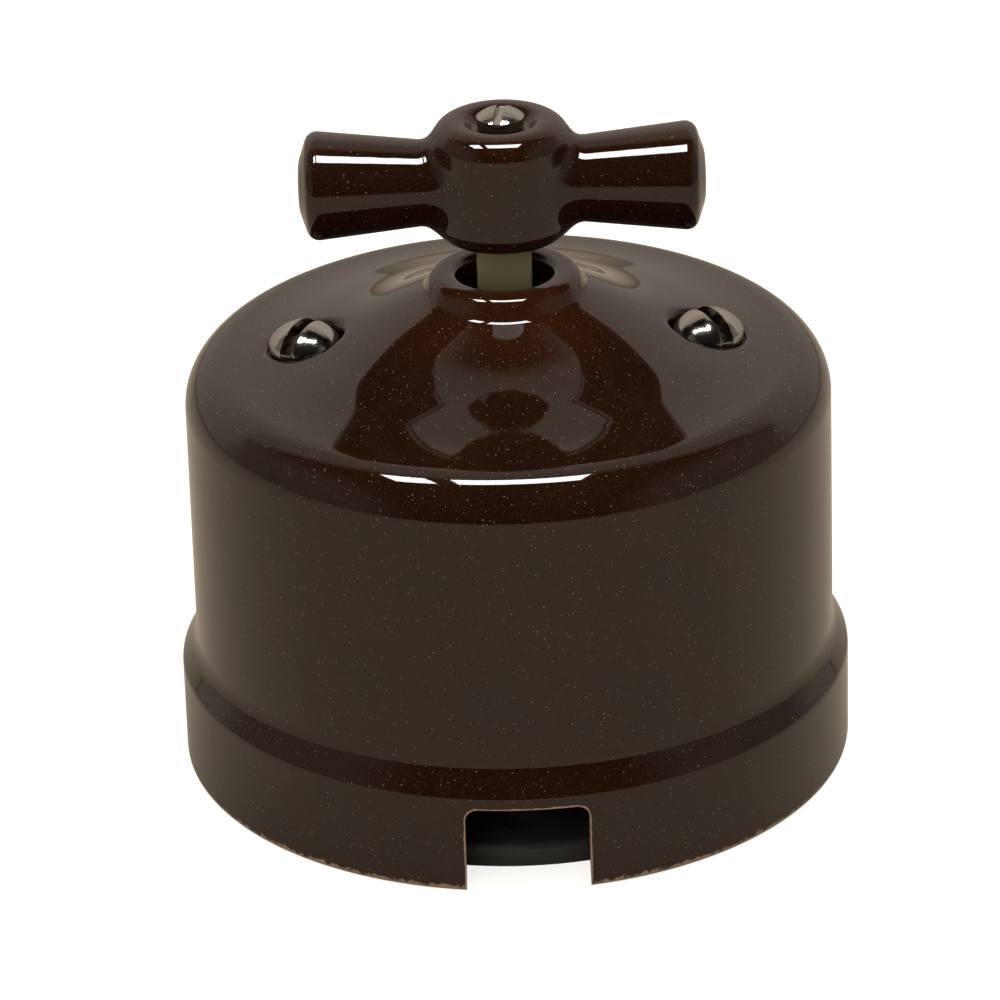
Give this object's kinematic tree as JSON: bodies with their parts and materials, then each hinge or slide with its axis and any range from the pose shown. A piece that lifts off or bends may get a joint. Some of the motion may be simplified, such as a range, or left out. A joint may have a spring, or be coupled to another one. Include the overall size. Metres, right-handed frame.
{
  "type": "two-way rotary light switch",
  "caption": "Round surface-mounted rotary two-way switch: glazed porcelain cover with a collar, winged porcelain knob on a square spindle, changeover contacts on a moulded base.",
  "frame": {"origin": "centre of the rear rim, on the wall plane", "axes": "+Z out of the wall along the spindle to the knob, cable notch at -Y, knob wings along X"},
  "size_m": [0.07, 0.07, 0.071],
  "materials": {
    "cover_glaze": "high-gloss brown glaze over pressed porcelain",
    "knob_glaze": "high-gloss brown glaze over pressed porcelain",
    "screw_nickel": "polished nickel plate",
    "base_black": "moulded, satin",
    "plate_black": "moulded, satin",
    "spindle_ivory": "moulded, satin",
    "bush_white": "moulded, satin",
    "contact_brass": "rolled strip, bent",
    "terminal_brass": "drawn, sawn",
    "insert_brass": "turned",
    "inner_steel": "zinc plated",
    "spring_steel": "tempered strip"
  },
  "bodies": {
    "housing": {"cover": "cover_glaze", "cover_screws": "screw_nickel", "base": "base_black", "threaded_inserts": "insert_brass", "common_contact": "contact_brass", "first_contact": "contact_brass", "second_contact": "contact_brass", "contact_rivets": "contact_brass", "terminal_common": "terminal_brass", "terminal_first": "terminal_brass", "terminal_second": "terminal_brass", "terminal_screws": "inner_steel", "bridge_plate": "plate_black", "bridge_screws": "inner_steel", "detent_spring_front": "spring_steel", "detent_spring_back": "spring_steel", "thrust_washer": "inner_steel"},
    "turning_part": {"spindle": "spindle_ivory", "contact_carrier": "bush_white", "moving_contact": "contact_brass", "carrier_cap": "bush_white", "blade_spring": "spring_steel", "detent_cam": "bush_white", "retaining_clip": "spring_steel", "knob": "knob_glaze", "knob_washer": "spring_steel", "knob_screw": "screw_nickel"}
  },
  "joints": [
    {"name": "knob_turn", "type": "hinge", "parent": "housing", "child": "turning_part", "pos_m": [0, 0, 0], "axis": [0, 0, 1], "continuous": true, "deforming": ["detent_spring_front", "detent_spring_back"]}
  ]
}
